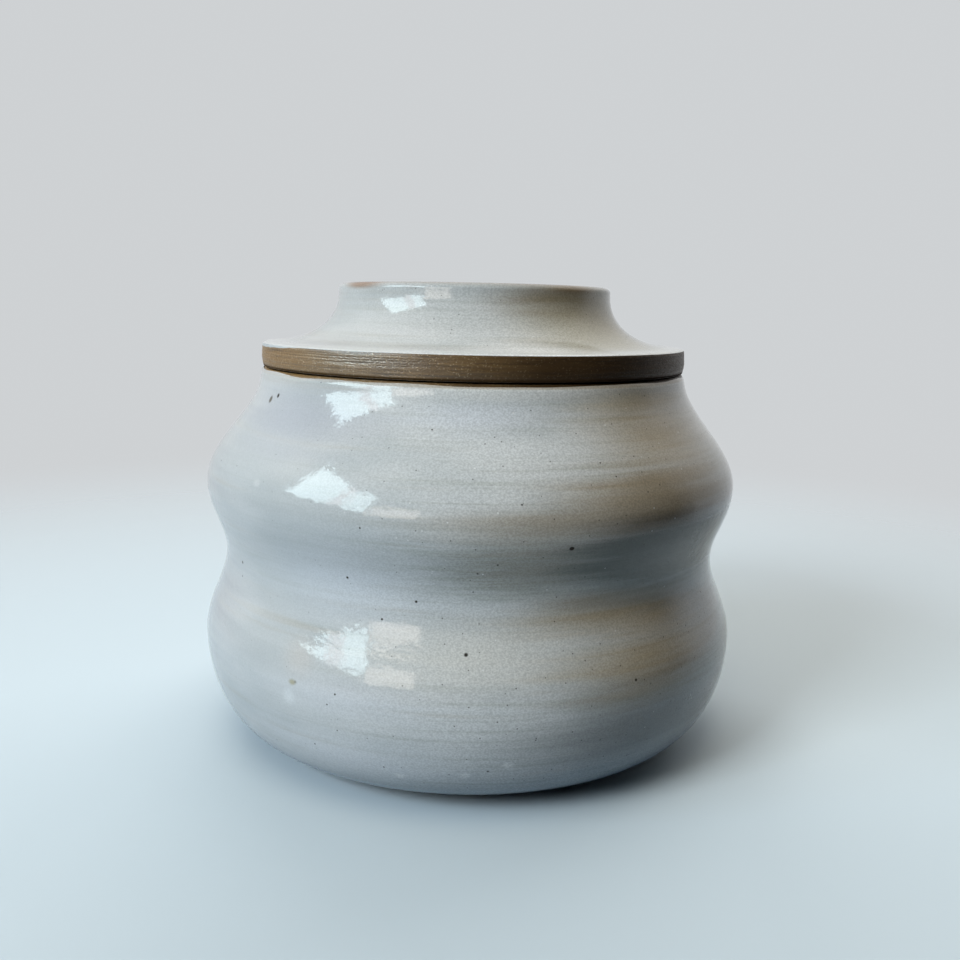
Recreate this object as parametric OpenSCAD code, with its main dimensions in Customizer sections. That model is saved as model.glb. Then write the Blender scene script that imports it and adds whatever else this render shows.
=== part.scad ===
// Lidded stoneware jar: a thrown vessel with two lobes and a lift-off lid with a wide collar.
// Millimetres, +Z up. The origin is on the table, under the middle of the foot ring.
// Outside sizes are taken over the glaze.

/* [Jar outline] */
// Outside diameter at the rim
rim_d = 109.6; // [98:0.1:124]
// Outside diameter at the fullest part of the upper lobe
upper_lobe_d = 137.7; // [126:0.1:156]
// Outside diameter at the waist between the lobes
waist_d = 128.5; // [110:0.1:150]
// Outside diameter at the fullest part of the lower lobe
lower_lobe_d = 139.6; // [126:0.1:160]
// Height of the lower lobe's fullest part above the table
lower_lobe_h = 28; // [24:0.5:40]
// Rise from the lower lobe to the waist
waist_rise = 21.1; // [14:0.1:32]
// Rise from the waist to the upper lobe
upper_lobe_rise = 17.9; // [12:0.1:30]
// Rise from the upper lobe to the rim
neck_rise = 28.3; // [20:0.1:40]
// How far the base turns in under the lower lobe
base_turn_w = 14.8; // [10:0.1:20]

/* [Jar wall] */
// Thickness of the clay wall, measured level
wall_t = 6; // [4:0.5:8]
// Thickness of the clay floor
floor_t = 7; // [5:0.5:10]
// Height of the foot ring below the glazed underside
foot_h = 3.5; // [2:0.1:6]
// Width of the foot ring's standing face and its edges
foot_w = 6; // [4:0.5:12]
// Bare clay between the foot ring and the glaze
foot_setback = 6; // [2:0.5:12]
// Height of the bare clay strip at the rim
rim_bare_h = 0.8; // [0.7:0.1:3]

/* [Lid] */
// Thickness of the flange at its bare outer band
band_t = 5.55; // [4:0.05:10]
// How far the flange stays inside the jar's rim
flange_setback = 0.05; // [0:0.05:2]
// Clay thickness of the plate under the recess
plate_t = 6; // [4:0.1:9]
// Outside diameter of the collar at its lip
collar_d = 70.4; // [56:0.1:76]
// Height of the collar's lip above the glazed edge of the flange
collar_h = 14.95; // [10:0.05:25]
// Squareness of the hollow curve from the lip down to the flange: 2 is an ellipse, more is squarer
collar_hollow = 2.3; // [1.6:0.1:3]
// Thickness of the collar over both glaze faces
collar_t = 4.5; // [3.5:0.1:8]
// Height of the collar's rounded lip
lip_h = 1.35; // [1.1:0.05:3]
// How far the recess widens from the lip down to its floor
recess_flare = 3.5; // [0:0.1:5]
// Radius of the corner at the bottom of the recess
recess_fillet = 4; // [1:0.5:8]

/* [Fit] */
// Height of the locating ring under the lid
ring_h = 8; // [4:0.5:16]
// Thickness of the locating ring
ring_t = 4; // [3:0.5:8]
// Clearance all round between the locating ring and the mouth
ring_clearance = 1; // [0.5:0.1:3]
// Gap between the lid and the rim where the lid sits
seat_gap = 0.45; // [0.3:0.05:1]

/* [Finish] */
// Thickness of the glaze coats
glaze_t = 0.5; // [0.3:0.05:0.8]
// Size of the broken edges on bare clay
edge_break = 0.4; // [0.2:0.05:0.6]

/* [Hidden] */
$fn = 96;

clay_colour = "#6f5239";
glaze_colour = "#cfccc6";
liner_colour = "#dad7d0";

// Straight pieces that stand for each rounded stretch of an outline
lobe_steps = 12;
turn_steps = 10;
hollow_steps = 16;
fillet_steps = 8;
lip_steps = 10;

// Stations of the jar's outside, as radius and height
lower_lobe = [lower_lobe_d / 2, lower_lobe_h];
waist = [waist_d / 2, lower_lobe_h + waist_rise];
upper_lobe = [upper_lobe_d / 2, waist.y + upper_lobe_rise];
rim = [rim_d / 2, upper_lobe.y + neck_rise];

// Levels and radii that follow from the driving sizes
underside_z = foot_h + glaze_t;
floor_z = underside_z + floor_t;
foot_r = lower_lobe.x - base_turn_w - foot_setback;
clay_mouth_r = rim.x - glaze_t - wall_t;
mouth_r = clay_mouth_r - glaze_t;
seat_z = rim.y + seat_gap;
band_top_z = seat_z + band_t;
flange_r = rim.x - flange_setback;
ring_r = mouth_r - ring_clearance;
recess_z = seat_z + plate_t + glaze_t;

// The glazed edge of the flange and the foot of the collar's lip, over the glaze
flange_edge = [flange_r - edge_break, band_top_z + glaze_t];
lip_base = [collar_d / 2, flange_edge.y + collar_h - lip_h];

function reversed(list) = [for (i = [len(list) - 1 : -1 : 0]) list[i]];
function unit(v) = v / norm(v);
function turned(v, angle) = [v.x * cos(angle) - v.y * sin(angle), v.x * sin(angle) + v.y * cos(angle)];

// Points of a smooth swell from one station up to the next, moved in by inset,
// up to the share of the rise given by reach
function swell(low, high, inset, reach = 1) =
    [for (i = [1 : lobe_steps])
        let (t = reach * i / lobe_steps, ease = (1 - cos(180 * t)) / 2)
        [low.x + (high.x - low.x) * ease - inset, low.y + (high.y - low.y) * t]];

// Points of the quarter ellipse from the flat bottom up to the lower lobe
function base_turn(inset, bottom_z) =
    [for (i = [0 : turn_steps])
        let (angle = 90 * i / turn_steps - 90)
        [lower_lobe.x - base_turn_w + (base_turn_w - inset) * cos(angle),
         lower_lobe.y + (lower_lobe.y - bottom_z) * sin(angle)]];

// One face of the jar's wall, from its flat bottom up to the glaze line below the rim
function wall_line(inset, bottom_z) = concat(
    base_turn(inset, bottom_z),
    swell(lower_lobe, waist, inset),
    swell(waist, upper_lobe, inset),
    swell(upper_lobe, rim, inset, 1 - rim_bare_h / neck_rise));

// Points of the arc that rounds the corner between two straight runs
function fillet(from, corner, to, radius) =
    let (u = unit(from - corner), w = unit(to - corner), half = acos(u * w) / 2)
    let (reach = min(radius / tan(half), norm(from - corner), norm(to - corner)))
    let (arc_r = reach * tan(half), centre = corner + unit(u + w) * arc_r / sin(half))
    let (spoke = corner + u * reach - centre, last = corner + w * reach - centre)
    let (sweep = sign(cross(spoke, last)) * (180 - 2 * half))
    [for (i = [0 : fillet_steps]) centre + turned(spoke, sweep * i / fillet_steps)];

// Points of the hollow curve from the edge of the flange up to just below the lip
function hollow(inset) =
    let (reach = [flange_edge.x - lip_base.x + inset, lip_base.y - flange_edge.y + inset])
    [for (i = [0 : hollow_steps - 1])
        let (angle = 90 - 90 * i / hollow_steps)
        [flange_edge.x - reach.x * pow(cos(angle), 2 / collar_hollow),
         lip_base.y - reach.y * pow(sin(angle), 2 / collar_hollow)]];

// Points of the rounded lip, from the outside of the collar over to the recess
function lip(inset) =
    [for (i = [0 : lip_steps])
        let (angle = 180 * i / lip_steps)
        [lip_base.x - collar_t / 2 + (collar_t / 2 - inset) * cos(angle),
         lip_base.y + (lip_h - inset) * sin(angle)]];

// The lid's upper face, from the edge of the flange over the collar to the middle of the recess
function lid_top_line(inset) =
    let (lip_points = lip(inset))
    let (recess_corner = [lip_base.x - collar_t + recess_flare + inset, recess_z - inset])
    let (middle = [0, recess_z - inset])
    concat(
        hollow(inset),
        lip_points,
        fillet(lip_points[lip_steps], recess_corner, middle, recess_fillet + inset),
        [middle]);

clay_inset = glaze_t + wall_t;

module jar_vessel() {
    foot_outline = [
        [0, underside_z],
        [foot_r - foot_w, underside_z],
        [foot_r - foot_w, edge_break],
        [foot_r - foot_w + edge_break, 0],
        [foot_r - edge_break, 0],
        [foot_r, edge_break],
        [foot_r, underside_z]];
    rim_outline = [
        [rim.x - glaze_t, rim.y - edge_break],
        [rim.x - glaze_t - edge_break, rim.y],
        [clay_mouth_r + edge_break, rim.y],
        [clay_mouth_r, rim.y - edge_break]];
    color(clay_colour) rotate_extrude() polygon(concat(
        foot_outline,
        wall_line(glaze_t, underside_z),
        rim_outline,
        reversed(wall_line(clay_inset, floor_z)),
        [[0, floor_z]]));
}

module jar_outer_glaze() {
    color(glaze_colour) rotate_extrude() polygon(concat(
        wall_line(0, foot_h),
        reversed(wall_line(glaze_t, underside_z))));
}

module jar_liner_glaze() {
    color(liner_colour) rotate_extrude() polygon(concat(
        [[0, floor_z + glaze_t]],
        wall_line(clay_inset + glaze_t, floor_z + glaze_t),
        reversed(wall_line(clay_inset, floor_z)),
        [[0, floor_z]]));
}

module lid_cap() {
    underside_outline = [
        [0, seat_z],
        [ring_r - ring_t, seat_z],
        [ring_r - ring_t, seat_z - ring_h + edge_break],
        [ring_r - ring_t + edge_break, seat_z - ring_h],
        [ring_r - edge_break, seat_z - ring_h],
        [ring_r, seat_z - ring_h + edge_break],
        [ring_r, seat_z],
        [flange_r - edge_break, seat_z],
        [flange_r, seat_z + edge_break],
        [flange_r, band_top_z - edge_break]];
    color(clay_colour) rotate_extrude() polygon(concat(underside_outline, lid_top_line(glaze_t)));
}

module lid_top_glaze() {
    color(glaze_colour) rotate_extrude() polygon(concat(
        lid_top_line(0),
        reversed(lid_top_line(glaze_t))));
}

module lid_underside_glaze() {
    color(liner_colour) translate([0, 0, seat_z - glaze_t]) cylinder(r = ring_r - ring_t, h = glaze_t);
}

jar_vessel();
jar_outer_glaze();
jar_liner_glaze();
lid_cap();
lid_top_glaze();
lid_underside_glaze();
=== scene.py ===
# Looks of the lidded stoneware jar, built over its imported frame. Metres, +Z up, -Y towards the viewer.
import math

import bpy
import numpy as np
from mathutils import Matrix, Vector

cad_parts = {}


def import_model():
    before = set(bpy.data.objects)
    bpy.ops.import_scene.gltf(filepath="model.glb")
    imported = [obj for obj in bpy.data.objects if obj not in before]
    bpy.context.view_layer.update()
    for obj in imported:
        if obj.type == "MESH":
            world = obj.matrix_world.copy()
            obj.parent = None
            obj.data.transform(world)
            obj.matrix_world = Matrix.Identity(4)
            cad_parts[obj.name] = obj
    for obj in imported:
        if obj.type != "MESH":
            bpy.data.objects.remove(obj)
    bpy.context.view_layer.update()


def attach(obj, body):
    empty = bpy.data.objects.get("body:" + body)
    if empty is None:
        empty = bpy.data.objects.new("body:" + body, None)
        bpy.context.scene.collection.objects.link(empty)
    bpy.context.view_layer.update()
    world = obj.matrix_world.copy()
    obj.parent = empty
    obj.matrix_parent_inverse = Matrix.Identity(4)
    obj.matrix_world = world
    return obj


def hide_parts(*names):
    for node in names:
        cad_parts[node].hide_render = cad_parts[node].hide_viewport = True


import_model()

MM = 0.001

# Stations of the jar's outside over the glaze, as radius and height
LOWER_LOBE = np.array((69.8, 28.0)) * MM
WAIST = np.array((64.25, 49.1)) * MM
UPPER_LOBE = np.array((68.85, 67.0)) * MM
RIM = np.array((54.8, 95.3)) * MM
BASE_TURN_W = 14.8 * MM

# Jar wall, floor and foot
WALL_T = 6.0 * MM
FLOOR_T = 7.0 * MM
FOOT_H = 3.5 * MM
FOOT_W = 6.0 * MM
FOOT_SETBACK = 6.0 * MM
RIM_BARE_H = 0.8 * MM
GLAZE_T = 0.5 * MM
EDGE_BREAK = 0.4 * MM

# Lid
BAND_T = 5.55 * MM
FLANGE_SETBACK = 0.05 * MM
PLATE_T = 6.0 * MM
COLLAR_R = 35.2 * MM
COLLAR_H = 14.95 * MM
COLLAR_HOLLOW = 2.3
COLLAR_T = 4.5 * MM
LIP_H = 1.35 * MM
RECESS_FLARE = 3.5 * MM
RECESS_FILLET = 4.0 * MM
RING_H = 8.0 * MM
RING_T = 4.0 * MM
RING_CLEARANCE = 1.0 * MM
SEAT_GAP = 0.45 * MM

# Levels and radii that follow
UNDERSIDE_Z = FOOT_H + GLAZE_T
FLOOR_Z = UNDERSIDE_Z + FLOOR_T
FOOT_R = LOWER_LOBE[0] - BASE_TURN_W - FOOT_SETBACK
CLAY_INSET = GLAZE_T + WALL_T
CLAY_MOUTH_R = RIM[0] - GLAZE_T - WALL_T
GLAZE_LINE_Z = RIM[1] - RIM_BARE_H
SEAT_Z = RIM[1] + SEAT_GAP
BAND_TOP_Z = SEAT_Z + BAND_T
FLANGE_R = RIM[0] - FLANGE_SETBACK
RING_R = CLAY_MOUTH_R - GLAZE_T - RING_CLEARANCE
RECESS_Z = SEAT_Z + PLATE_T + GLAZE_T
FLANGE_EDGE = np.array((FLANGE_R - EDGE_BREAK, BAND_TOP_Z + GLAZE_T))
LIP_BASE = np.array((COLLAR_R, FLANGE_EDGE[1] + COLLAR_H - LIP_H))

# Mesh steps, with the fewest steps of each curve and its length as a multiple of its height or width
COLUMNS = 256
ROW = 0.6 * MM
HIDDEN_ROW = 4.0 * MM
BAND_ROW = 0.12 * MM
SWELL_STEPS = 4
BASE_STEPS, BASE_LENGTH = 6, 1.4
HOLLOW_STEPS, HOLLOW_LENGTH = 16, 1.6
FILLET_STEPS = 14
LIP_STEPS = 20
ON_AXIS = 1e-9
SHARP_ANGLE = math.radians(35)

# Relief left by the hands and the tools
WOBBLE = 0.12 * MM
RINGS = 0.012 * MM
RING_MEAN, RING_SWING = 0.7, 0.4
RELIEF_FADE = 8 * MM
INSIDE_RINGS = 0.12 * MM
INSIDE_FADE_LOW = (10 * MM, 20 * MM)
INSIDE_FADE_HIGH = (14 * MM, 6 * MM)
LID_UNEVENNESS = 0.04 * MM
TURNING = 0.022 * MM
BAND_FACE = (0.1 * MM, 0.02 * MM)
BAND_BREAK_SHARE = 0.4
BAND_UNDERCUT = 0.30 * MM
BAND_LEAN = 0.20 * MM
BAND_LOW_EDGE = 0.6 * MM

# Edges of the glaze coats; the two lines are read from one wavy field at different places
GLAZE_EDGE_WAVE = 0.12 * MM
GLAZE_EDGE_REACH = 4.0 * MM
GLAZE_RISE = 0.3 * MM
GLAZE_SIDE_RISE = 0.22 * MM
GLAZE_ROLL = 1.0 * MM
GLAZE_TAPER = 0.85 * GLAZE_T
JAR_EDGE_AT, LID_EDGE_AT = 0.0, 0.5
LID_EDGE_WAVE = 0.5 * GLAZE_EDGE_WAVE
LID_ROLL_DROP = 0.2 * MM
FLANGE_SLOPE_W = 5.0 * MM
FLANGE_SLOPE_DROP = 0.22 * MM

# Camera
CAMERA_DISTANCE = 0.2601
CAMERA_HEIGHT = 0.112
CAMERA_PITCH = math.radians(10.24)
CAMERA_ROLL = math.radians(1.22)
CAMERA_PAN = math.radians(0.53)
SENSOR_W = 36.0
FOCAL_PX = 975
PICTURE_PX = 960

# Upright strips of the tall window on the left, as name, sides, radiance and colour
WINDOW_X = -1.0
WINDOW_LOW, WINDOW_HIGH = 0.36, 1.0
PANES = [
    ("window_left", (-0.60, -0.15), 6.4, (0.75, 0.95, 1.0)),
    ("window_post", (-0.77, -0.60), 3.8, (1.0, 0.97, 1.0)),
    ("window_right", (-1.10, -0.77), 6.4, (0.75, 0.95, 1.0))]
# Lamps aimed at the jar, as name, place, size, radiance, colour,
# and whether they light it and whether they show in its gloss
AIM = (0.0, 0.0, 0.07)
LAMPS = [
    ("sky", (-1.28, -0.60, 0.82), (0.6, 0.6), 6.8, (0.62, 0.82, 1.0), True, False),
    ("key", (-0.94, -0.94, 0.77), (0.5, 0.5), 21.2, (0.87, 0.955, 1.0), True, False),
    ("patch", (-0.5, -0.87, 0.28), (0.25, 0.36), 3.3, (1.0, 0.91, 0.82), False, True),
    ("top", (-0.22, -0.46, 1.15), (0.8, 0.8), 2.3, (1.0, 0.89, 0.72), True, False),
    ("overhead", (0.05, 0.30, 1.25), (0.8, 0.8), 1.2, (1.0, 0.97, 0.93), True, False),
    ("back_right", (0.72, 1.03, 0.58), (1.0, 1.0), 3.2, (1.0, 0.98, 0.95), True, False),
    ("back_left", (-0.32, 1.21, 0.58), (1.0, 1.0), 3.2, (1.0, 0.98, 0.95), True, False)]

# Surroundings; the two ranges say how far back, from 0 to 1, the wall and the backdrop set in
ROOM = (0.012, 0.012, 0.012, 1.0)
ROOM_GLOSS = (0.06, 0.052, 0.042, 1.0)
WALL = (0.55, 0.55, 0.53, 1.0)
WALL_RANGE = (0.45, 1.0)
BACKGROUND = (0.62, 0.64, 0.655, 1.0)
BACKGROUND_RANGE = (0.0, 0.4)
FLOOR_SHOWN = (0.56, 0.64, 0.69, 1.0)
FLOOR_BOUNCE = (0.096, 0.152, 0.214, 1.0)
FLOOR_ROUGHNESS = 0.9
FLOOR_CORNERS = 128
FLOOR_RADIUS = 0.5
FLOOR_FADE_FROM = 0.10

# Colours of the glaze
COOL_GLAZE = (0.48, 0.50, 0.50, 1.0)
MILKY_GLAZE = (0.59, 0.595, 0.585, 1.0)
WARM_GLAZE = (0.42, 0.355, 0.265, 1.0)
# Deep glaze for the streaks, also the colour of the painted shade round the waist
DEEP_GLAZE_AND_SHADE = (0.355, 0.366, 0.325, 1.0)
THIN_GLAZE = (0.33, 0.25, 0.16, 1.0)
OLIVE_GLAZE = (0.20, 0.15, 0.082, 1.0)
# Painted light on the flange, and a painted glow on its front
FLANGE_LIT_GLAZE = (0.76, 0.76, 0.745, 1.0)
FLANGE_GLOW_GLAZE = (0.88, 0.88, 0.87, 1.0)
LID_WARM_GLAZE = (0.44, 0.40, 0.30, 1.0)
# Painted shade on the collar
COLLAR_SHADE_GLAZE = (0.40, 0.40, 0.385, 1.0)
# Pale glaze for the blotches, also the colour of specks painted as glints
SALT_AND_GLINT = (0.76, 0.76, 0.74, 1.0)
IRON = (0.022, 0.014, 0.009, 1.0)
FLECK = (0.075, 0.058, 0.028, 1.0)
RUST = (0.27, 0.155, 0.085, 1.0)

# Noises of the glaze, as grain size, stretch along each axis and detail
CLOUDS = (26 * MM, (1.6, 1.6, 0.6), 2.0)
STREAKS = (2.6 * MM, (26, 26, 1), 4.0)
BRUSH = (0.8 * MM, (55, 55, 1), 3.0)
GRAIN = (0.34 * MM, (1.3, 1.3, 1), 2.0)
PEEL = (0.75 * MM, (1.2, 1.2, 1), 2.5)
SWELLS = (2.3 * MM, (1.3, 1.3, 1), 1.0)
NOISE_MIDDLE = 0.5
# What the noises are turned into, as lowest and highest noise and what these become
CLOUD_SHARE = (0.36, 0.66, 0.0, 1.0)
STREAK_SHARE = (0.54, 0.80, 0.0, 0.35)
BRUSH_SHARE = (0.48, 0.72, 0.0, 0.42)
GRAIN_SHADE = (0.28, 0.72, 0.15, -0.15)
GLAZE_ROUGHNESS = (0.3, 0.7, 0.045, 0.08)
PEEL_DEPTH = 0.028 * MM
SWELL_DEPTH = 0.06 * MM
GLAZE_SPECULAR = 0.5
GLAZE_IOR = 1.55
# The glaze is milky on the left and raw, with grain and specks, on the right; the calm left also stands for a
# painted soft reflection over that side
RAW_UNVEILED = (-50 * MM, 8 * MM, 0.25, 1.0)
# Fine specks, as cell, radius, share of the cells, strength, whether they follow the raw side, and colour
SPECK_LAYERS = [
    (2.0 * MM, 0.22 * MM, 0.6, 0.7, True, IRON),
    # Pale specks, partly painted glints
    (2.6 * MM, 0.22 * MM, 0.35, 0.8, True, SALT_AND_GLINT),
    (5.0 * MM, 0.28 * MM, 0.6, 0.8, False, IRON),
    (15.0 * MM, 0.45 * MM, 0.7, 0.85, False, IRON)]
SPECK_CORE = 0.55

# Painted shade in lines round the waist, below the upper lobe, stronger on the right
SHADE_BAND_Z = 57.8 * MM
SHADE_BAND_CORE, SHADE_BAND_REACH = 2.35 * MM, 9.4 * MM
SHADE_BAND_LINES = (0.7 * MM, (24, 24, 1), 3.0)
SHADE_BAND_LINE_SHARE = (0.40, 0.62, 0.2, 0.9)
SHADE_BAND_SIDE = (-34 * MM, 6 * MM, 0.15, 1.0)
# Zones of the jar, as angle from +X, height, reach round and up, core and colour; the pale zones are painted
# light, the deep and dark ones painted shade, and the brown ones brown glaze with painted shade and painted
# reflection in it
LIGHT_SHADE_AND_BROWN_ZONES = [
    # Painted shade on the left edge and on the neck's left
    (-168.0, 42.0 * MM, 42 * MM, 44.0 * MM, 0.0, (0.40, 0.41, 0.425, 1.0)),
    (-135.0, 86.0 * MM, 38 * MM, 11.0 * MM, 0.0, (0.42, 0.435, 0.465, 1.0)),
    # Painted light on the waist, lower lobe and base on the left, on the lower lobe's front, on the neck and in
    # a line below the rim; the one at -89 is a painted reflection on the neck
    (-114.0, 53.0 * MM, 32 * MM, 13.0 * MM, 0.0, (0.62, 0.64, 0.66, 1.0)),
    (-112.0, 29.0 * MM, 32 * MM, 6.0 * MM, 0.0, (0.58, 0.59, 0.60, 1.0)),
    (-110.0, 14.5 * MM, 40 * MM, 8.0 * MM, 0.0, (0.63, 0.64, 0.645, 1.0)),
    (-88.0, 39.5 * MM, 42 * MM, 11.0 * MM, 0.0, (0.60, 0.588, 0.55, 1.0)),
    (-80.0, 82.5 * MM, 30 * MM, 4.0 * MM, 0.0, (0.61, 0.62, 0.615, 1.0)),
    (-89.0, 88.5 * MM, 22 * MM, 5.0 * MM, 0.0, (0.57, 0.59, 0.615, 1.0)),
    (-76.0, 93.6 * MM, 50 * MM, 2.6 * MM, 0.2, (0.64, 0.64, 0.62, 1.0)),
    # Brown glaze on the right, with painted shade and painted reflection in it; the one at -52 low down is
    # painted shade on the base
    (-49.0, 92.0 * MM, 26 * MM, 5.0 * MM, 0.0, (0.53, 0.465, 0.35, 1.0)),
    (-45.0, 83.5 * MM, 30 * MM, 11.5 * MM, 0.0, (0.36, 0.295, 0.195, 1.0)),
    (-53.0, 71.5 * MM, 40 * MM, 9.5 * MM, 0.2, (0.305, 0.245, 0.162, 1.0)),
    (-52.0, 20.0 * MM, 48 * MM, 12.0 * MM, 0.1, (0.225, 0.228, 0.222, 1.0)),
    (-53.0, 30.0 * MM, 34 * MM, 6.0 * MM, 0.0, (0.27, 0.230, 0.165, 1.0)),
    (-54.0, 36.5 * MM, 35 * MM, 8.0 * MM, 0.0, (0.38, 0.305, 0.195, 1.0)),
    (-62.0, 45.8 * MM, 34 * MM, 5.6 * MM, 0.0, (0.40, 0.325, 0.22, 1.0)),
    (-50.0, 44.0 * MM, 24 * MM, 6.0 * MM, 0.0, (0.47, 0.375, 0.25, 1.0)),
    (-74.0, 58.5 * MM, 33 * MM, 9.5 * MM, 0.0, (0.31, 0.285, 0.235, 1.0)),
    (-75.0, 67.0 * MM, 40 * MM, 7.0 * MM, 0.0, (0.36, 0.315, 0.25, 1.0)),
    # A dark brown streak, painted shade below it, brown glaze, and the dark pool of painted shade where the
    # waist faces down on the right
    (-54.0, 66.0 * MM, 28 * MM, 3.8 * MM, 0.3, (0.155, 0.118, 0.074, 1.0)),
    (-46.0, 63.0 * MM, 40 * MM, 3.6 * MM, 0.4, (0.150, 0.147, 0.128, 1.0)),
    (-56.0, 49.5 * MM, 34 * MM, 3.4 * MM, 0.2, (0.27, 0.23, 0.17, 1.0)),
    (-41.0, 57.8 * MM, 43 * MM, 9.4 * MM, 0.55, (0.046, 0.070, 0.056, 1.0))]
ZONE_UNEVENNESS = 0.8
ZONE_STRENGTH = 0.9
# Pale blotches, as angle, height and strength
PALE_BLOTCHES = [
    (-102.3, 11.7 * MM, 0.55), (-90.1, 13.1 * MM, 0.55),
    (-82.4, 15.8 * MM, 0.55), (-134.4, 72.1 * MM, 0.25)]
BLOTCH_REACH = (1.8 * MM, 1.8 * MM, 1.2 * MM)
BLOTCH_CORE = 0.3
# A pit with its halo, as turn and rise from its middle, reach, core, strength and colour of each part
PIT = (-123.3, 29.9 * MM)
PIT_PARTS = [
    (1.0, 6.0 * MM, (7.0 * MM, 7.0 * MM, 7.0 * MM), 0.0, 0.35, (0.60, 0.53, 0.47, 1.0)),
    (-0.6, -3.4 * MM, (2.6 * MM, 2.6 * MM, 2.6 * MM), 0.2, 0.50, (0.70, 0.72, 0.72, 1.0)),
    (0.2, 0.1 * MM, (1.5 * MM, 1.5 * MM, 0.95 * MM), 0.2, 0.75, (0.34, 0.30, 0.17, 1.0)),
    (0.9, 0.3 * MM, (0.6 * MM, 0.6 * MM, 0.5 * MM), 0.2, 0.60, (0.14, 0.13, 0.09, 1.0))]
# Iron specks that show singly, as angle, height and radius
IRON_SPECKS = [
    (-144.2, 90.0 * MM, 0.75 * MM), (-90.3, 39.9 * MM, 0.60 * MM), (-146.8, 50.4 * MM, 0.52 * MM),
    (-113.5, 54.1 * MM, 0.45 * MM), (-99.9, 50.2 * MM, 0.45 * MM), (-57.9, 32.0 * MM, 0.45 * MM),
    (-106.5, 45.8 * MM, 0.36 * MM), (-113.7, 29.6 * MM, 0.36 * MM)]
IRON_CORE = 0.4
IRON_STRENGTH = 0.95
IRON_SPECULAR = 0.02
LONG_SPECK = (-72.0, 62.7 * MM)
LONG_SPECK_REACH = (0.70 * MM, 0.70 * MM, 0.55 * MM)
LONG_SPECK_CORE = 0.6
BROWN_FLECK = (-147.6, 88.9 * MM)
BROWN_FLECK_REACH = (1.1 * MM, 1.1 * MM, 1.25 * MM)
BROWN_FLECK_CORE = 0.4
BROWN_FLECK_STRENGTH = 0.9
# The brown line where the glaze thins below the rim
THIN_LINE_H = 0.4 * MM
THIN_LINE_STRENGTH = 0.6

# Marks of the lid: painted shade on the collar's upright face, from and to these shares of its height
COLLAR_SHADE_RANGE = (0.1, 0.35)
COLLAR_SHADE_STRENGTH = 0.3
# Rusty patches on the lip, as angle, radius and height
LIP_PATCHES = [(-142.0, COLLAR_R - MM, 116.2 * MM), (-48.0, COLLAR_R - MM, 115.6 * MM)]
LIP_PATCH_REACH = (11 * MM, 11 * MM, 1.6 * MM)
LIP_PATCH_CORE = 0.2
LIP_PATCH_SHARE = (0.35, 0.6, 0.35, 0.85)
# An olive smear on the collar and a warmer side of the lid, as angle, radius and height
COLLAR_SMEAR = (-57.0, COLLAR_R, 112.6 * MM)
COLLAR_SMEAR_REACH = (23 * MM, 23 * MM, 6.5 * MM)
COLLAR_SMEAR_SHARE = (0.32, 0.54, 0.6, 1.0)
LID_WARM = (-42.0, 42 * MM, 106 * MM)
LID_WARM_REACH = (32 * MM, 32 * MM, 16 * MM)
LID_WARM_CORE = 0.2
LID_WARM_STRENGTH = 0.8
# Painted light on the flange's upward face, lighter towards its edge, and a painted glow on its front, as
# angle, radius and height
FLANGE_LIT_RADII = (FLANGE_EDGE[0] - 7 * MM, FLANGE_EDGE[0] - 2 * MM)
FLANGE_LIT_STRENGTH = 0.6
FLANGE_GLOW = (-72.0, 50 * MM, FLANGE_EDGE[1])
FLANGE_GLOW_REACH = (26 * MM, 11 * MM, 4 * MM)
FLANGE_GLOW_STRENGTH = 0.8
# Radii between which the peel calms down on the flange, and how far it does
CALM = (FLANGE_EDGE[0] - 13 * MM, FLANGE_EDGE[0] - 6 * MM, 1.0, 0.25)
# Thin glaze over the lip, from a share of its height
THIN_LIP_FROM = 0.3
THIN_LIP_STRENGTH = 0.22

# Colours of the bare clay
DEEP_CLAY = (0.080, 0.043, 0.014, 1.0)
BROWN_CLAY = (0.175, 0.098, 0.033, 1.0)
# Painted light and painted shade for the band's two sides
LIT_GOLDEN_CLAY = (0.265, 0.138, 0.032, 1.0)
SHADED_CLAY = (0.032, 0.018, 0.009, 1.0)
RIDGE_CLAY = (0.26, 0.155, 0.060, 1.0)
GROOVE_CLAY = (0.042, 0.023, 0.010, 1.0)
GROG = (0.42, 0.30, 0.17, 1.0)
GLINT = (0.46, 0.35, 0.22, 1.0)
# Noises of the clay and what they are turned into
CLAY_LINES = (0.5 * MM, (22, 22, 1), 4.0)
CLAY_PATCHES = (14 * MM, (2, 2, 0.5), 3.0)
CLAY_GRIT = (0.35 * MM, (1.6, 1.6, 1), 3.0)
CLAY_GLINTS = (0.62 * MM, 0.20 * MM, 0.4)
PATCH_SHARE = (0.35, 0.68, 0.0, 1.0)
RIDGE_SHARE = (0.48, 0.72, 0.0, 0.5)
GROOVE_SHARE = (0.46, 0.28, 0.0, 0.5)
GRIT_SHARE = (0.44, 0.30, 0.0, 0.45)
GROG_SHARE = (0.60, 0.70, 0.0, 0.7)
GLINT_STRENGTH = 0.55
RIDGE_DEPTH = 0.16 * MM
GRIT_DEPTH = 0.13 * MM
CLAY_ROUGHNESS = (0.3, 0.7, 0.46, 0.28)
CLAY_SPECULAR = 0.5
CLAY_IOR = 1.75
# Golden painted light on the clay on the left, painted shade on the right and a sheen between, by place across
# and what it becomes
LIT_SIDE = (-52 * MM, -25 * MM, 0.85, 0.0)
SHADED_SIDE = (-14 * MM, 18 * MM, 0.0, 0.8)
SHEEN_RISE = (-52 * MM, -34 * MM, 0.2, 1.0)
SHEEN_FALL = (-28 * MM, 18 * MM, 1.0, 0.06)
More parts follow.
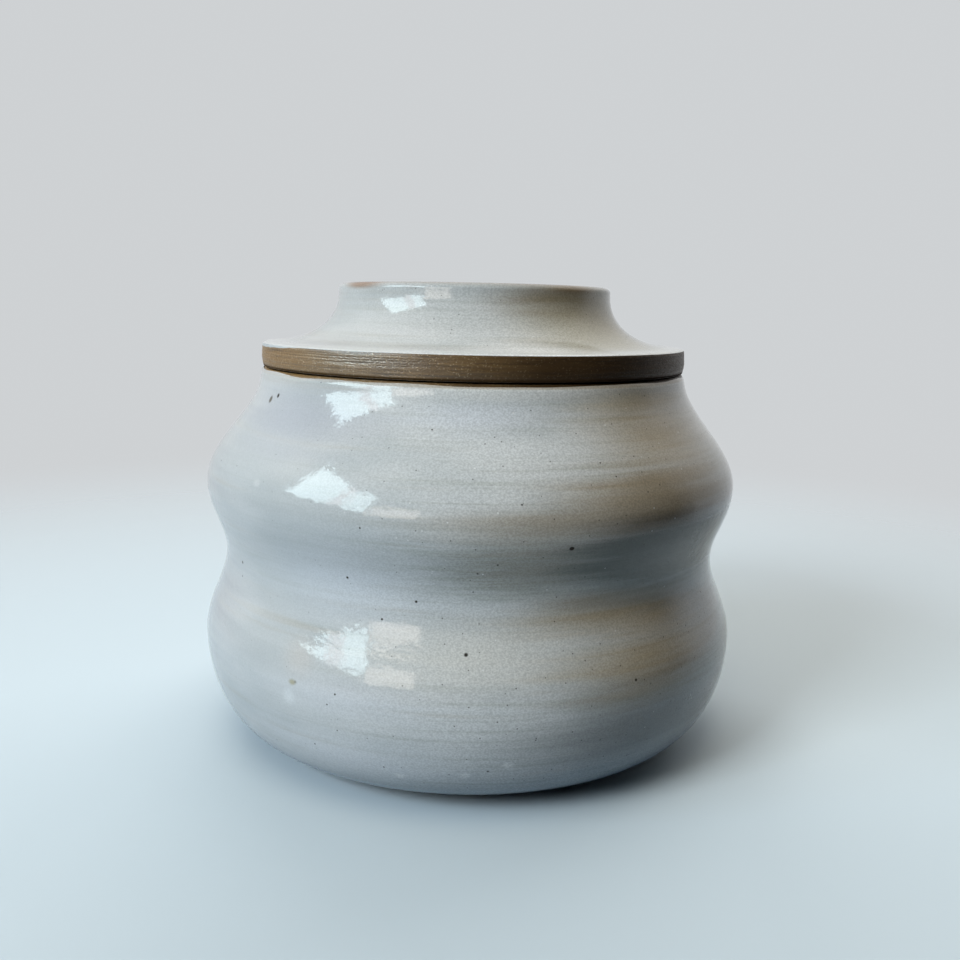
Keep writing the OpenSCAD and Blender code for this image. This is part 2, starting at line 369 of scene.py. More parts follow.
# Glaze that laps over the top of the bare band on the left
LAP_H = 0.8 * MM
LAP_SIDE = (-56 * MM, -28 * MM, LAP_H, -0.3 * LAP_H)
LAP_RAGGED_SIZE = 3 * MM
LAP_RAGGED = 0.5 * LAP_H
LAP_SOFT = 0.15 * MM
# Painted shade on the clay just above the seat
SEAT_SHADE_RISE = (0.02 * MM, 0.06 * MM, 0.0, 1.0)
SEAT_SHADE_FALL = (0.25 * MM, 0.85 * MM, 1.0, 0.0)
SEAT_SHADE_STRENGTH = 0.85


def densified(points, step):
    """The outline with points added so that no run is longer than step."""
    runs = [points[:1]]
    for a, b in zip(points[:-1], points[1:]):
        count = max(1, math.ceil(np.linalg.norm(b - a) / step))
        share = np.arange(1, count + 1)[:, None] / count
        runs.append(a + (b - a) * share)
    return np.vstack(runs)


def swell(low, high, inset, step, reach=1.0):
    """Smooth run from one station of the jar's outside up to the next, moved in by inset."""
    count = max(SWELL_STEPS, math.ceil(np.linalg.norm(high - low) / step))
    t = reach * np.arange(1, count + 1) / count
    ease = (1 - np.cos(math.pi * t)) / 2
    return np.column_stack((low[0] + (high[0] - low[0]) * ease - inset, low[1] + (high[1] - low[1]) * t))


def base_turn(inset, bottom_z, step):
    """Quarter ellipse from the flat bottom up to the lower lobe."""
    count = max(BASE_STEPS, math.ceil(BASE_LENGTH * LOWER_LOBE[1] / step))
    angle = np.linspace(-math.pi / 2, 0, count + 1)
    centre_r = LOWER_LOBE[0] - BASE_TURN_W
    return np.column_stack((centre_r + (BASE_TURN_W - inset) * np.cos(angle),
                            LOWER_LOBE[1] + (LOWER_LOBE[1] - bottom_z) * np.sin(angle)))


def wall_line(inset, bottom_z, step):
    """One face of the jar's wall, from its flat bottom up to the glaze line below the rim."""
    reach = 1 - RIM_BARE_H / (RIM[1] - UPPER_LOBE[1])
    return np.vstack((base_turn(inset, bottom_z, step),
                      swell(LOWER_LOBE, WAIST, inset, step),
                      swell(WAIST, UPPER_LOBE, inset, step),
                      swell(UPPER_LOBE, RIM, inset, step, reach)))


def fillet(start, corner, end, radius):
    """Arc that rounds the corner between two straight runs."""
    u = (start - corner) / np.linalg.norm(start - corner)
    w = (end - corner) / np.linalg.norm(end - corner)
    half = math.acos(float(u @ w)) / 2
    reach = min(radius / math.tan(half), np.linalg.norm(start - corner), np.linalg.norm(end - corner))
    arc_r = reach * math.tan(half)
    centre = corner + (u + w) / np.linalg.norm(u + w) * arc_r / math.sin(half)
    spoke, last = corner + u * reach - centre, corner + w * reach - centre
    sweep = math.copysign(math.pi - 2 * half, spoke[0] * last[1] - spoke[1] * last[0])
    angle = np.linspace(0, sweep, FILLET_STEPS + 1)
    return centre + np.column_stack((spoke[0] * np.cos(angle) - spoke[1] * np.sin(angle),
                                     spoke[0] * np.sin(angle) + spoke[1] * np.cos(angle)))


def hollow(inset, step):
    """Hollow curve from the edge of the flange up to just below the lip."""
    reach = np.array((FLANGE_EDGE[0] - COLLAR_R + inset, LIP_BASE[1] - FLANGE_EDGE[1] + inset))
    count = max(HOLLOW_STEPS, math.ceil(HOLLOW_LENGTH * reach[0] / step))
    angle = np.linspace(math.pi / 2, 0, count + 1)[:-1]
    power = 2 / COLLAR_HOLLOW
    return np.column_stack((FLANGE_EDGE[0] - reach[0] * np.abs(np.cos(angle)) ** power,
                            LIP_BASE[1] - reach[1] * np.sin(angle) ** power))


def lip(inset):
    """Rounded lip, from the outside of the collar over to the recess."""
    angle = np.linspace(0, math.pi, LIP_STEPS + 1)
    return np.column_stack((COLLAR_R - COLLAR_T / 2 + (COLLAR_T / 2 - inset) * np.cos(angle),
                            LIP_BASE[1] + (LIP_H - inset) * np.sin(angle)))


def lid_top_line(inset, step):
    """The lid's upper face, from the edge of the flange over the collar to the middle of the recess."""
    over = lip(inset)
    recess_corner = np.array((COLLAR_R - COLLAR_T + RECESS_FLARE + inset, RECESS_Z - inset))
    middle = np.array((0.0, RECESS_Z - inset))
    return densified(np.vstack((hollow(inset, step),
                                over,
                                fillet(over[-1], recess_corner, middle, RECESS_FILLET + inset),
                                middle)), step)


def tapered(line):
    """The jar's outer face with its last stretch drawn in, so that the coat thins to a rounded edge."""
    out = line.copy()
    s = np.clip((out[:, 1] - (GLAZE_LINE_Z - GLAZE_ROLL)) / GLAZE_ROLL, 0, 1)
    out[:, 0] -= GLAZE_TAPER * (1 - np.sqrt(1 - s * s))
    return out


def rolled(line):
    """The lid's upper face, let down towards the flange's edge, where the coat thins to a rounded end."""
    out = line.copy()
    inwards = FLANGE_EDGE[0] - out[:, 0]
    slope = np.clip(1 - inwards / FLANGE_SLOPE_W, 0, 1)
    roll = np.clip(1 - inwards / GLAZE_ROLL, 0, 1)
    out[:, 1] -= FLANGE_SLOPE_DROP * slope ** 2 + LID_ROLL_DROP * (1 - np.sqrt(1 - roll ** 2))
    return out


def smooth(low, high, value):
    """0 below low and 1 above high, with an eased run between."""
    t = np.clip((value - low) / (high - low), 0, 1)
    return t * t * (3 - 2 * t)


def waves(seed, terms, turns, lengths):
    """A seeded field of height and angle: waves that close on themselves all round, of about unit size."""
    rng = np.random.default_rng(seed)
    rows = [(rng.integers(turns[0], turns[1] + 1), 2 * math.pi / rng.uniform(*lengths),
             rng.uniform(0, 2 * math.pi)) for _ in range(terms)]

    def field(height, angle):
        return sum(np.cos(m * angle + k * height + p) for m, k, p in rows) / math.sqrt(terms / 2)
    return field


wobble_field = waves(seed=3, terms=6, turns=(1, 3), lengths=(60 * MM, 160 * MM))
ring_field = waves(seed=5, terms=9, turns=(1, 1), lengths=(3.2 * MM, 11 * MM))
ring_strength = waves(seed=6, terms=4, turns=(1, 2), lengths=(25 * MM, 60 * MM))
inside_field = waves(seed=8, terms=3, turns=(1, 1), lengths=(7 * MM, 10 * MM))
turning_field = waves(seed=11, terms=12, turns=(0, 1), lengths=(0.5 * MM, 1.6 * MM))
edge_field = waves(seed=13, terms=9, turns=(2, 17), lengths=(1.0, 2.0))
lid_field = waves(seed=17, terms=6, turns=(1, 3), lengths=(30 * MM, 90 * MM))


def jar_relief(r, z, angle):
    """Out-of-round and throwing rings of the jar, none at the rim or the foot."""
    share = smooth(FOOT_H, LOWER_LOBE[1] / 2, z) * (1 - smooth(GLAZE_LINE_Z - RELIEF_FADE, GLAZE_LINE_Z, z))
    rings = RINGS * ring_field(z, angle) * (RING_MEAN + RING_SWING * ring_strength(z, angle))
    return share * (WOBBLE * wobble_field(z, angle) + rings), np.zeros_like(r)


def glaze_relief(r, z, angle):
    """The jar's relief, with the glaze running in a wavy line below the rim."""
    dr, dz = jar_relief(r, z, angle)
    share = smooth(GLAZE_LINE_Z - GLAZE_EDGE_REACH, GLAZE_LINE_Z, z)
    rise = GLAZE_RISE + GLAZE_SIDE_RISE * np.cos(angle) ** 2
    return dr, dz + share * (rise + GLAZE_EDGE_WAVE * edge_field(JAR_EDGE_AT, angle))


def liner_relief(r, z, angle):
    """The jar's relief, with the finger rings left inside by throwing."""
    dr, dz = jar_relief(r, z, angle)
    share = smooth(FLOOR_Z + INSIDE_FADE_LOW[0], FLOOR_Z + INSIDE_FADE_LOW[1], z)
    share = share * (1 - smooth(GLAZE_LINE_Z - INSIDE_FADE_HIGH[0], GLAZE_LINE_Z - INSIDE_FADE_HIGH[1], z))
    return dr - share * INSIDE_RINGS * (1 + inside_field(z, angle)), dz


def lid_glaze_relief(r, z, angle):
    """A slight unevenness of the lid's top, with a wavy glaze line along the flange's edge."""
    share = smooth(FLANGE_EDGE[0] - GLAZE_EDGE_REACH, FLANGE_EDGE[0], r)
    level = LID_UNEVENNESS * lid_field(r, angle) * (1 - share)
    return share * LID_EDGE_WAVE * edge_field(LID_EDGE_AT, angle), level


def band_relief(r, z, angle):
    """Turned lines on the bare band, which tapers in a little below its break and leans in above it."""
    on_band = smooth(FLANGE_R - BAND_FACE[0], FLANGE_R - BAND_FACE[1], r)
    on_band = on_band * smooth(SEAT_Z, SEAT_Z + EDGE_BREAK, z)
    break_z = SEAT_Z + BAND_BREAK_SHARE * BAND_T
    undercut = BAND_UNDERCUT * np.clip((break_z - z) / (break_z - SEAT_Z), 0, 1)
    lean = BAND_LEAN * np.clip((z - break_z) / (BAND_TOP_Z - break_z), 0, 1)
    return on_band * (TURNING * turning_field(z, angle) - undercut - lean), np.zeros_like(r)


def no_relief(r, z, angle):
    """A face left as it was cut."""
    return np.zeros_like(r), np.zeros_like(r)


def lathe(name, outline, relief, body, node, material):
    """A closed mesh turned from an anticlockwise outline; it rides on a body and stands for a node."""
    loop = outline[0][0] > ON_AXIS
    angle = np.arange(COLUMNS) * 2 * math.pi / COLUMNS
    vertices, rings = [], []
    for r, z in outline:
        start = len(vertices)
        if r <= ON_AXIS:
            vertices.append((0.0, 0.0, z))
            rings.append([start] * COLUMNS)
            continue
        dr, dz = relief(np.full(COLUMNS, r), np.full(COLUMNS, z), angle)
        vertices.extend(zip((r + dr) * np.cos(angle), (r + dr) * np.sin(angle), z + dz))
        rings.append(list(range(start, start + COLUMNS)))
    pairs = list(zip(rings[:-1], rings[1:])) + ([(rings[-1], rings[0])] if loop else [])
    faces = []
    for below, above in pairs:
        for j in range(COLUMNS):
            k = (j + 1) % COLUMNS
            corners = dict.fromkeys((below[j], below[k], above[k], above[j]))
            if len(corners) > 2:
                faces.append(tuple(corners))
    mesh = bpy.data.meshes.new(name)
    mesh.from_pydata(vertices, [], faces)
    mesh.shade_smooth()
    mesh.set_sharp_from_angle(angle=SHARP_ANGLE)
    mesh.materials.append(material)
    piece = bpy.data.objects.new(name, mesh)
    bpy.context.collection.objects.link(piece)
    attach(piece, body)
    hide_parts(node)


def add(tree, kind, inputs=None, **settings):
    """Adds a node, sets its properties, then sets or links its inputs by name or number."""
    node = tree.nodes.new(kind)
    for name, value in settings.items():
        setattr(node, name, value)
    for key, value in (inputs or {}).items():
        if isinstance(value, bpy.types.NodeSocket):
            tree.links.new(value, node.inputs[key])
        else:
            node.inputs[key].default_value = value
    return node


def link(tree, node, inputs):
    """Links the inputs of a node by name."""
    for key, value in inputs.items():
        tree.links.new(value, node.inputs[key])


def maths(tree, operation, a, b=0.0):
    """The result of one operation on numbers."""
    return add(tree, "ShaderNodeMath", {0: a, 1: b}, operation=operation).outputs[0]


def vectors(tree, operation, a, b=(0.0, 0.0, 0.0)):
    """The vector that one operation on vectors gives."""
    return add(tree, "ShaderNodeVectorMath", {0: a, 1: b}, operation=operation).outputs["Vector"]


def length(tree, vector):
    """How long a vector is."""
    return add(tree, "ShaderNodeVectorMath", {0: vector}, operation="LENGTH").outputs["Value"]


def eased(tree, value, low, high, out_low=0.0, out_high=1.0):
    """Value mapped smoothly from low..high to out_low..out_high."""
    return add(tree, "ShaderNodeMapRange",
               {"Value": value, "From Min": low, "From Max": high, "To Min": out_low, "To Max": out_high},
               interpolation_type="SMOOTHSTEP").outputs["Result"]


def blend(tree, share, a, b):
    """Colour a where share is 0 and b where it is 1."""
    return add(tree, "ShaderNodeMix", {0: share, 6: a, 7: b}, data_type="RGBA").outputs[2]


def tinted(tree, colour, mask, strength, other):
    """The colour mixed towards another one by a mask."""
    return blend(tree, maths(tree, "MULTIPLY", mask, strength), colour, other)


def noise(tree, place, size, stretch=(1, 1, 1), detail=3.0):
    """Noise with grains of about the given size in metres, longer along an axis with a larger stretch."""
    scaled = vectors(tree, "MULTIPLY", place, [1 / (size * s) for s in stretch])
    return add(tree, "ShaderNodeTexNoise", {"Vector": scaled, "Scale": 1.0, "Detail": detail}).outputs[0]


def specks(tree, place, cell, radius, share):
    """Round specks up to the given radius, one in a share of the cells."""
    voronoi = add(tree, "ShaderNodeTexVoronoi", {"Vector": place, "Scale": 1 / cell})
    near = eased(tree, voronoi.outputs["Distance"], SPECK_CORE * radius / cell, radius / cell, 1.0, 0.0)
    pick = add(tree, "ShaderNodeSeparateColor", {0: voronoi.outputs["Color"]}).outputs[0]
    return maths(tree, "MULTIPLY", near, maths(tree, "LESS_THAN", pick, share))


def blob(tree, place, at, reach, core=0.0, unevenness=0.0):
    """A soft patch round a point, with its own reach along each axis and an edge that may be uneven."""
    apart = vectors(tree, "SUBTRACT", place, at)
    away = length(tree, vectors(tree, "MULTIPLY", apart, [1 / x for x in reach]))
    return eased(tree, maths(tree, "ADD", away, unevenness), core, 1.0, 1.0, 0.0)


def around(degrees, r, z):
    """Point at an angle from +X, a radius and a height."""
    a = math.radians(degrees)
    return (r * math.cos(a), r * math.sin(a), z)


def on_jar(degrees, z):
    """Point on the jar's outside at an angle from +X and a height."""
    line = wall_line(0, FOOT_H, ROW)
    return around(degrees, float(np.interp(z, line[:, 1], line[:, 0])), z)


def new_material(name):
    """A material with a principled shader, and its nodes to build on."""
    material = bpy.data.materials.new(name)
    material.use_nodes = True
    tree = material.node_tree
    tree.nodes.clear()
    shader = add(tree, "ShaderNodeBsdfPrincipled")
    output = add(tree, "ShaderNodeOutputMaterial", {"Surface": shader.outputs[0]})
    return material, tree, shader, output


def jar_marks(tree, place, height, streaks, raw_unveiled, colour):
    """What shows on the jar alone: painted shade round the waist, zones of painted light, painted shade and
    brown glaze, blotches, a pit, iron specks and a thin rim.
    """
    # Painted shade in lines under the upper lobe, stronger on the right
    off_shade_band = maths(tree, "ABSOLUTE", maths(tree, "SUBTRACT", height, SHADE_BAND_Z))
    shade_band = eased(tree, off_shade_band, SHADE_BAND_CORE, SHADE_BAND_REACH, 1.0, 0.0)
    lines = noise(tree, place, *SHADE_BAND_LINES)
    across = add(tree, "ShaderNodeSeparateXYZ", {0: place}).outputs["X"]
    lined = maths(tree, "MULTIPLY", eased(tree, lines, *SHADE_BAND_LINE_SHARE), eased(tree, across, *SHADE_BAND_SIDE))
    colour = tinted(tree, colour, shade_band, lined, DEEP_GLAZE_AND_SHADE)
    uneven = maths(tree, "MULTIPLY", maths(tree, "SUBTRACT", streaks, NOISE_MIDDLE), ZONE_UNEVENNESS)
    # Zones of painted light, painted shade and brown glaze
    for degrees, z, round_reach, up, core, tint in LIGHT_SHADE_AND_BROWN_ZONES:
        zone = blob(tree, place, on_jar(degrees, z), (round_reach, round_reach, up), core, uneven)
        colour = tinted(tree, colour, zone, ZONE_STRENGTH, tint)
    for degrees, z, strength in PALE_BLOTCHES:
        spot = blob(tree, place, on_jar(degrees, z), BLOTCH_REACH, BLOTCH_CORE)
        colour = tinted(tree, colour, spot, strength, SALT_AND_GLINT)
    for turn, rise, reach, core, strength, tint in PIT_PARTS:
        part = blob(tree, place, on_jar(PIT[0] + turn, PIT[1] + rise), reach, core)
        colour = tinted(tree, colour, part, strength, tint)
    fleck = blob(tree, place, on_jar(*BROWN_FLECK), BROWN_FLECK_REACH, BROWN_FLECK_CORE)
    colour = tinted(tree, colour, fleck, BROWN_FLECK_STRENGTH, FLECK)
    iron = blob(tree, place, on_jar(*LONG_SPECK), LONG_SPECK_REACH, LONG_SPECK_CORE)
    for degrees, z, radius in IRON_SPECKS:
        iron = maths(tree, "MAXIMUM", iron, blob(tree, place, on_jar(degrees, z), (radius,) * 3, IRON_CORE))
    colour = tinted(tree, colour, iron, IRON_STRENGTH, IRON)
    thin = eased(tree, height, GLAZE_LINE_Z - THIN_LINE_H, GLAZE_LINE_Z)
    colour = tinted(tree, colour, thin, maths(tree, "MULTIPLY", raw_unveiled, THIN_LINE_STRENGTH), THIN_GLAZE)
    return colour, 1.0, eased(tree, iron, 0.0, 1.0, GLAZE_SPECULAR, IRON_SPECULAR)


def lid_marks(tree, place, height, streaks, raw_unveiled, colour):
    """What shows on the lid alone: painted shade on the collar, rust, a smear, painted light and a painted glow
    on the flange and a thin lip.
    """
    # Painted shade on the collar's upright face
    collar = eased(tree, height, *(FLANGE_EDGE[1] + share * COLLAR_H for share in COLLAR_SHADE_RANGE))
    colour = tinted(tree, colour, collar, COLLAR_SHADE_STRENGTH, COLLAR_SHADE_GLAZE)
    for patch_at in LIP_PATCHES:
        patch = blob(tree, place, around(*patch_at), LIP_PATCH_REACH, LIP_PATCH_CORE)
        colour = tinted(tree, colour, patch, eased(tree, streaks, *LIP_PATCH_SHARE), RUST)
    smear = blob(tree, place, around(*COLLAR_SMEAR), COLLAR_SMEAR_REACH)
    colour = tinted(tree, colour, smear, eased(tree, streaks, *COLLAR_SMEAR_SHARE), OLIVE_GLAZE)
    warm = blob(tree, place, around(*LID_WARM), LID_WARM_REACH, LID_WARM_CORE)
    colour = tinted(tree, colour, warm, LID_WARM_STRENGTH, LID_WARM_GLAZE)
    radius = length(tree, vectors(tree, "MULTIPLY", place, (1, 1, 0)))
    # Painted light on the flange's upward face, towards its edge
    colour = tinted(tree, colour, eased(tree, radius, *FLANGE_LIT_RADII), FLANGE_LIT_STRENGTH, FLANGE_LIT_GLAZE)
    # A painted glow on the flange's front
    flange_glow = blob(tree, place, around(*FLANGE_GLOW), FLANGE_GLOW_REACH)
    colour = tinted(tree, colour, flange_glow, FLANGE_GLOW_STRENGTH, FLANGE_GLOW_GLAZE)
    thin = eased(tree, height, LIP_BASE[1] + THIN_LIP_FROM * LIP_H, LIP_BASE[1] + LIP_H)
    colour = tinted(tree, colour, thin, THIN_LIP_STRENGTH, RUST)
    return colour, eased(tree, radius, *CALM), GLAZE_SPECULAR


def no_marks(tree, place, height, streaks, raw_unveiled, colour):
    """Plain glaze, as on the inside of the jar and under the lid."""
    return colour, 1.0, GLAZE_SPECULAR


def glaze_material(name, marks):
    """Glossy pale glaze over brown clay: streaks round the jar, a fine grain, iron specks and a peel.

    The marks give the colour, the strength of the relief and the specular level.
    The specular level is linked only where it varies.
    """
    material, tree, shader, _ = new_material(name)
    place = add(tree, "ShaderNodeTexCoord").outputs["Object"]
    axes = add(tree, "ShaderNodeSeparateXYZ", {0: place}).outputs
    # Raw glaze on the right; the calm left stands for a painted soft reflection
    raw_unveiled = eased(tree, axes["X"], *RAW_UNVEILED)
    clouds = noise(tree, place, *CLOUDS)
    streaks = noise(tree, place, *STREAKS)
    brush = noise(tree, place, *BRUSH)
    grain = noise(tree, place, *GRAIN)
    peel = noise(tree, place, *PEEL)
    swells = noise(tree, place, *SWELLS)

    colour = blend(tree, eased(tree, clouds, *CLOUD_SHARE), COOL_GLAZE, MILKY_GLAZE)
    colour = blend(tree, eased(tree, streaks, *STREAK_SHARE), colour, WARM_GLAZE)
    colour = tinted(tree, colour, eased(tree, brush, *BRUSH_SHARE), raw_unveiled, DEEP_GLAZE_AND_SHADE)
    colour, relief, specular = marks(tree, place, axes["Z"], streaks, raw_unveiled, colour)
    pepper = maths(tree, "MULTIPLY", eased(tree, grain, *GRAIN_SHADE), raw_unveiled)
    colour = add(tree, "ShaderNodeVectorMath", {0: colour, "Scale": maths(tree, "ADD", pepper, 1.0)},
                 operation="SCALE").outputs[0]
    for cell, radius, share, strength, follows_raw_unveiled, tint in SPECK_LAYERS:
        shown = maths(tree, "MULTIPLY", raw_unveiled, strength) if follows_raw_unveiled else strength
        colour = tinted(tree, colour, specks(tree, place, cell, radius, share), shown, tint)

    level = add(tree, "ShaderNodeBump", {"Height": swells, "Strength": relief, "Distance": SWELL_DEPTH})
    bump = add(tree, "ShaderNodeBump", {"Height": peel, "Strength": relief, "Distance": PEEL_DEPTH,
                                        "Normal": level.outputs[0]})
    link(tree, shader, {"Base Color": colour, "Normal": bump.outputs[0],
                        "Roughness": eased(tree, clouds, *GLAZE_ROUGHNESS)})
    shader.inputs["Specular IOR Level"].default_value = GLAZE_SPECULAR
    if isinstance(specular, bpy.types.NodeSocket):
        link(tree, shader, {"Specular IOR Level": specular})
    shader.inputs["IOR"].default_value = GLAZE_IOR
    return material


def clay_material():
    """Bare fired clay: brown, with golden painted light on one side and painted shade on the other, turned
    lines, grog and a sheen.
    """
    material, tree, shader, _ = new_material("bare_stoneware")
    place = add(tree, "ShaderNodeTexCoord").outputs["Object"]
    axes = add(tree, "ShaderNodeSeparateXYZ", {0: place}).outputs
    lines = noise(tree, place, *CLAY_LINES)
    patches = noise(tree, place, *CLAY_PATCHES)
    grit = noise(tree, place, *CLAY_GRIT)
    colour = blend(tree, eased(tree, patches, *PATCH_SHARE), DEEP_CLAY, BROWN_CLAY)
    # Golden painted light on the left of the band
    colour = blend(tree, eased(tree, axes["X"], *LIT_SIDE), colour, LIT_GOLDEN_CLAY)
    for source, share, tint in ((lines, RIDGE_SHARE, RIDGE_CLAY), (lines, GROOVE_SHARE, GROOVE_CLAY),
                                (grit, GRIT_SHARE, GROOVE_CLAY), (grit, GROG_SHARE, GROG)):
        colour = blend(tree, eased(tree, source, *share), colour, tint)
    colour = tinted(tree, colour, specks(tree, place, *CLAY_GLINTS), GLINT_STRENGTH, GLINT)
    # Painted shade on the right of the band
    colour = blend(tree, eased(tree, axes["X"], *SHADED_SIDE), colour, SHADED_CLAY)

    ragged = maths(tree, "SUBTRACT", noise(tree, place, LAP_RAGGED_SIZE), NOISE_MIDDLE)
    lap = maths(tree, "ADD", eased(tree, axes["X"], *LAP_SIDE), maths(tree, "MULTIPLY", ragged, LAP_RAGGED))
    depth = maths(tree, "SUBTRACT", BAND_TOP_Z, axes["Z"])
    lapped = eased(tree, maths(tree, "SUBTRACT", lap, depth), 0.0, LAP_SOFT)
    colour = blend(tree, lapped, colour, COOL_GLAZE)

    # Painted shade on the clay just above the seat
    over_seat = maths(tree, "SUBTRACT", axes["Z"], SEAT_Z)
    shaded = maths(tree, "MULTIPLY", eased(tree, over_seat, *SEAT_SHADE_RISE),
                   eased(tree, over_seat, *SEAT_SHADE_FALL))
    colour = tinted(tree, colour, shaded, SEAT_SHADE_STRENGTH, SHADED_CLAY)

    sheen = maths(tree, "MINIMUM", eased(tree, axes["X"], *SHEEN_RISE), eased(tree, axes["X"], *SHEEN_FALL))
    ridges = add(tree, "ShaderNodeBump", {"Height": lines, "Strength": 1.0, "Distance": RIDGE_DEPTH})
    bump = add(tree, "ShaderNodeBump", {"Height": grit, "Strength": 1.0, "Distance": GRIT_DEPTH,
                                        "Normal": ridges.outputs[0]})
    lit = maths(tree, "SUBTRACT", 1.0, shaded)
    link(tree, shader, {"Base Color": colour, "Normal": bump.outputs[0],
                        "Roughness": eased(tree, grit, *CLAY_ROUGHNESS),
                        "Specular IOR Level": maths(tree, "MULTIPLY", sheen, lit)})
    shader.inputs["Specular IOR Level"].default_value = CLAY_SPECULAR
    shader.inputs["IOR"].default_value = CLAY_IOR
    return material


clay = clay_material()
jar_glaze = glaze_material("pale_glaze", jar_marks)
lid_glaze = glaze_material("pale_glaze_lid", lid_marks)
liner_glaze = glaze_material("liner_glaze", no_marks)

# The jar's three pieces
foot_outline = np.array([
    (0.0, UNDERSIDE_Z), (FOOT_R - FOOT_W, UNDERSIDE_Z), (FOOT_R - FOOT_W, EDGE_BREAK),
    (FOOT_R - FOOT_W + EDGE_BREAK, 0.0), (FOOT_R - EDGE_BREAK, 0.0),
    (FOOT_R, EDGE_BREAK), (FOOT_R, UNDERSIDE_Z)])
rim_outline = np.array([
    (RIM[0] - GLAZE_T, RIM[1] - EDGE_BREAK), (RIM[0] - GLAZE_T - EDGE_BREAK, RIM[1]),
    (CLAY_MOUTH_R + EDGE_BREAK, RIM[1]), (CLAY_MOUTH_R, RIM[1] - EDGE_BREAK)])
vessel_outline = np.vstack((
    foot_outline, wall_line(GLAZE_T, UNDERSIDE_Z, HIDDEN_ROW), rim_outline,
    wall_line(CLAY_INSET, FLOOR_Z, HIDDEN_ROW)[::-1], [(0.0, FLOOR_Z)]))
lathe("jar_clay", vessel_outline, jar_relief, "jar", "jar_vessel", clay)

outer_outline = np.vstack((
    tapered(wall_line(0, FOOT_H, ROW)), wall_line(GLAZE_T, UNDERSIDE_Z, HIDDEN_ROW)[::-1]))
lathe("jar_glaze_coat", outer_outline, glaze_relief, "jar", "jar_outer_glaze", jar_glaze)

liner_outline = np.vstack((
    [(0.0, FLOOR_Z)], wall_line(CLAY_INSET, FLOOR_Z, HIDDEN_ROW),
    wall_line(CLAY_INSET + GLAZE_T, FLOOR_Z + GLAZE_T, ROW)[::-1], [(0.0, FLOOR_Z + GLAZE_T)]))
lathe("jar_liner_coat", liner_outline, liner_relief, "jar", "jar_liner_glaze", liner_glaze)

# The lid's three pieces
underside_outline = np.array([
    (0.0, SEAT_Z), (RING_R - RING_T, SEAT_Z), (RING_R - RING_T, SEAT_Z - RING_H + EDGE_BREAK),
    (RING_R - RING_T + EDGE_BREAK, SEAT_Z - RING_H), (RING_R - EDGE_BREAK, SEAT_Z - RING_H),
    (RING_R, SEAT_Z - RING_H + EDGE_BREAK), (RING_R, SEAT_Z), (FLANGE_R - EDGE_BREAK, SEAT_Z)])
band_outline = densified(np.array([
    (FLANGE_R, SEAT_Z + BAND_LOW_EDGE), (FLANGE_R, BAND_TOP_Z - EDGE_BREAK)]), BAND_ROW)
cap_outline = np.vstack((underside_outline, band_outline, lid_top_line(GLAZE_T, HIDDEN_ROW)))
lathe("lid_clay", cap_outline, band_relief, "lid", "lid_cap", clay)

top_outline = np.vstack((
    rolled(lid_top_line(0, ROW)), lid_top_line(GLAZE_T, HIDDEN_ROW)[::-1]))
lathe("lid_glaze_coat", top_outline, lid_glaze_relief, "lid", "lid_top_glaze", lid_glaze)

disc_outline = densified(np.array([
    (0.0, SEAT_Z - GLAZE_T), (RING_R - RING_T, SEAT_Z - GLAZE_T),
    (RING_R - RING_T, SEAT_Z), (0.0, SEAT_Z)]), HIDDEN_ROW)
lathe("lid_underside_coat", disc_outline, no_relief, "lid", "lid_underside_glaze",
      liner_glaze)


def floor():
    """A pale round floor that keeps the jar's shadow and fades into the background."""
    bpy.ops.mesh.primitive_circle_add(vertices=FLOOR_CORNERS, radius=FLOOR_RADIUS, fill_type="NGON")
    disc = bpy.context.object
    disc.name = "floor"
    material, tree, shader, output = new_material("floor")
    path = add(tree, "ShaderNodeLightPath")
    seen = maths(tree, "MAXIMUM", path.outputs["Is Camera Ray"], path.outputs["Is Glossy Ray"])
    seen = maths(tree, "MAXIMUM", seen, path.outputs["Is Transmission Ray"])
    link(tree, shader, {"Base Color": blend(tree, seen, FLOOR_BOUNCE, FLOOR_SHOWN)})
    shader.inputs["Roughness"].default_value = FLOOR_ROUGHNESS
    shader.inputs["Specular IOR Level"].default_value = 0.0
    away = length(tree, add(tree, "ShaderNodeTexCoord").outputs["Object"])
    clear = add(tree, "ShaderNodeBsdfTransparent")
    mixed = add(tree, "ShaderNodeMixShader", {0: eased(tree, away, FLOOR_FADE_FROM, FLOOR_RADIUS),
                                              1: shader.outputs[0], 2: clear.outputs[0]})
    link(tree, output, {"Surface": mixed.outputs[0]})
    disc.data.materials.append(material)


def world():
    """A pale background for the camera; other rays find it behind the jar, and a dim room in front."""
    made = bpy.data.worlds.new("studio")
    bpy.context.scene.world = made
    made.use_nodes = True
    tree = made.node_tree
    tree.nodes.clear()
    path = add(tree, "ShaderNodeLightPath")
    way = add(tree, "ShaderNodeTexCoord").outputs["Generated"]
    behind = add(tree, "ShaderNodeSeparateXYZ", {0: way}).outputs["Y"]
    light = blend(tree, eased(tree, behind, *WALL_RANGE), ROOM, WALL)
    gloss = blend(tree, eased(tree, behind, *BACKGROUND_RANGE), ROOM_GLOSS, BACKGROUND)
    seen = maths(tree, "MAXIMUM", path.outputs["Is Camera Ray"], path.outputs["Is Transmission Ray"])
    colour = blend(tree, path.outputs["Is Glossy Ray"], light, gloss)
    shade = add(tree, "ShaderNodeBackground", {"Color": blend(tree, seen, colour, BACKGROUND)})
    add(tree, "ShaderNodeOutputWorld", {"Surface": shade.outputs[0]})


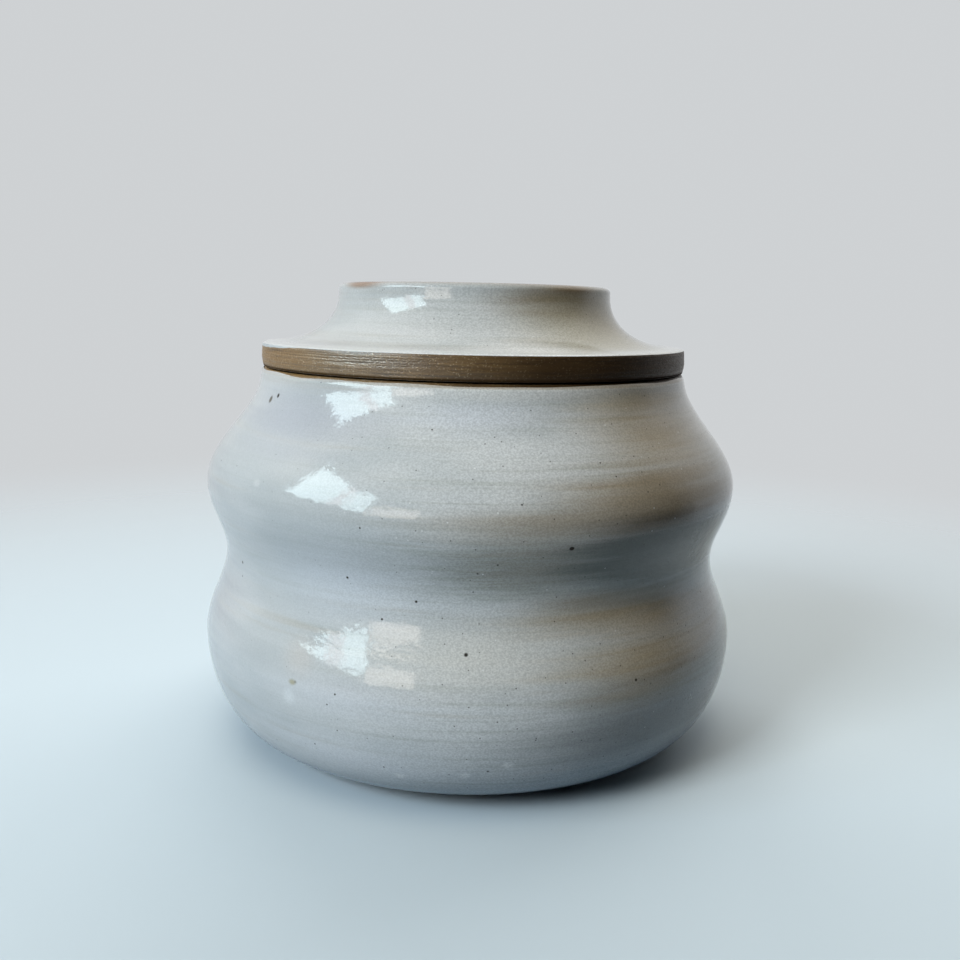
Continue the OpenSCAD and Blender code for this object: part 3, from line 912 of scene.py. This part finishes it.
def area_lamp(name, at, size, radiance, colour, facing, diffuse, glossy):
    """A rectangular lamp, hidden from the camera; its radiance is in watts per square metre and steradian."""
    data = bpy.data.lights.new(name, "AREA")
    data.shape = "RECTANGLE"
    data.size, data.size_y = size
    data.energy = math.pi * size[0] * size[1] * radiance
    data.color = colour
    lamp = bpy.data.objects.new(name, data)
    bpy.context.collection.objects.link(lamp)
    lamp.location = at
    lamp.rotation_mode = "QUATERNION"
    lamp.rotation_quaternion = Vector(facing).to_track_quat("-Z", "X")
    lamp.visible_camera = False
    lamp.visible_diffuse = diffuse
    lamp.visible_glossy = glossy


def lights():
    """The window, which only shows in the gloss, and the lamps."""
    for name, sides, radiance, colour in PANES:
        at = (WINDOW_X, sum(sides) / 2, (WINDOW_LOW + WINDOW_HIGH) / 2)
        size = (WINDOW_HIGH - WINDOW_LOW, sides[1] - sides[0])
        area_lamp(name, at, size, radiance, colour, (1, 0, 0), False, True)
    for name, at, size, radiance, colour, diffuse, glossy in LAMPS:
        area_lamp(name, at, size, radiance, colour, Vector(AIM) - Vector(at), diffuse, glossy)


def camera():
    """The photograph's viewpoint."""
    data = bpy.data.cameras.new("camera")
    data.sensor_width = SENSOR_W
    data.lens = SENSOR_W * FOCAL_PX / PICTURE_PX
    made = bpy.data.objects.new("camera", data)
    bpy.context.collection.objects.link(made)
    level = math.cos(CAMERA_PITCH)
    ahead = Vector((math.sin(CAMERA_PAN) * level, math.cos(CAMERA_PAN) * level, -math.sin(CAMERA_PITCH)))
    right = Vector((math.cos(CAMERA_PAN), -math.sin(CAMERA_PAN), 0.0))
    up = right.cross(ahead)
    x = math.cos(CAMERA_ROLL) * right + math.sin(CAMERA_ROLL) * up
    y = math.cos(CAMERA_ROLL) * up - math.sin(CAMERA_ROLL) * right
    at = Vector((0.0, -CAMERA_DISTANCE, CAMERA_HEIGHT))
    made.matrix_world = Matrix.Translation(at) @ Matrix((x, y, -ahead)).transposed().to_4x4()
    bpy.context.scene.camera = made


floor()
world()
lights()
camera()
bpy.context.scene.view_settings.view_transform = "Standard"
